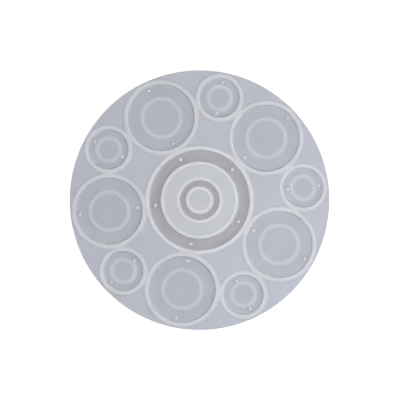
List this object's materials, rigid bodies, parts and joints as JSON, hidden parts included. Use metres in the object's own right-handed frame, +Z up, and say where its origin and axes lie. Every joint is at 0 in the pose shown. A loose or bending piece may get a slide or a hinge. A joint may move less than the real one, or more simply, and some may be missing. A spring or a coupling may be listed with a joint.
{
  "type": "resin casting mould",
  "caption": "Flat round silicone casting mould for resin wind chimes, with a central ring cavity and a circle of large and small round disc cells with beads and hole pegs.",
  "frame": {"origin": "centre of the flat underside", "axes": "+Z straight up out of the cavities' open mouths; +X from the middle of the mould to the middle of the first small cell"},
  "size_m": [0.26, 0.26, 0.008],
  "materials": {
    "milky_silicone": "satin"
  },
  "bodies": {
    "root": {"base_sheet": "milky_silicone", "cell_deck": "milky_silicone", "web_fifth_1": "milky_silicone", "web_fifth_2": "milky_silicone", "web_fifth_3": "milky_silicone", "web_fifth_4": "milky_silicone", "web_fifth_5": "milky_silicone", "ring_lip": "milky_silicone", "centre_island": "milky_silicone", "island_outer_lip": "milky_silicone", "island_inner_lip": "milky_silicone", "centre_boss": "milky_silicone", "boss_lip": "milky_silicone", "large_cell_lip_1": "milky_silicone", "large_cell_lip_2": "milky_silicone", "large_cell_lip_3": "milky_silicone", "large_cell_lip_4": "milky_silicone", "large_cell_lip_5": "milky_silicone", "small_cell_lip_1": "milky_silicone", "small_cell_lip_2": "milky_silicone", "small_cell_lip_3": "milky_silicone", "small_cell_lip_4": "milky_silicone", "small_cell_lip_5": "milky_silicone", "large_cell_bead_1": "milky_silicone", "large_cell_bead_2": "milky_silicone", "large_cell_bead_3": "milky_silicone", "large_cell_bead_4": "milky_silicone", "large_cell_bead_5": "milky_silicone", "small_cell_bead_1": "milky_silicone", "small_cell_bead_2": "milky_silicone", "small_cell_bead_3": "milky_silicone", "small_cell_bead_4": "milky_silicone", "small_cell_bead_5": "milky_silicone", "ring_peg_1": "milky_silicone", "ring_peg_2": "milky_silicone", "ring_peg_3": "milky_silicone", "ring_peg_4": "milky_silicone", "ring_peg_5": "milky_silicone", "large_cell_inner_peg_1": "milky_silicone", "large_cell_inner_peg_2": "milky_silicone", "large_cell_inner_peg_3": "milky_silicone", "large_cell_inner_peg_4": "milky_silicone", "large_cell_inner_peg_5": "milky_silicone", "large_cell_outer_peg_1": "milky_silicone", "large_cell_outer_peg_2": "milky_silicone", "large_cell_outer_peg_3": "milky_silicone", "large_cell_outer_peg_4": "milky_silicone", "large_cell_outer_peg_5": "milky_silicone", "small_cell_inner_peg_1": "milky_silicone", "small_cell_inner_peg_2": "milky_silicone", "small_cell_inner_peg_3": "milky_silicone", "small_cell_inner_peg_4": "milky_silicone", "small_cell_inner_peg_5": "milky_silicone", "small_cell_outer_peg_1": "milky_silicone", "small_cell_outer_peg_2": "milky_silicone", "small_cell_outer_peg_3": "milky_silicone", "small_cell_outer_peg_4": "milky_silicone", "small_cell_outer_peg_5": "milky_silicone"}
  },
  "joints": []
}
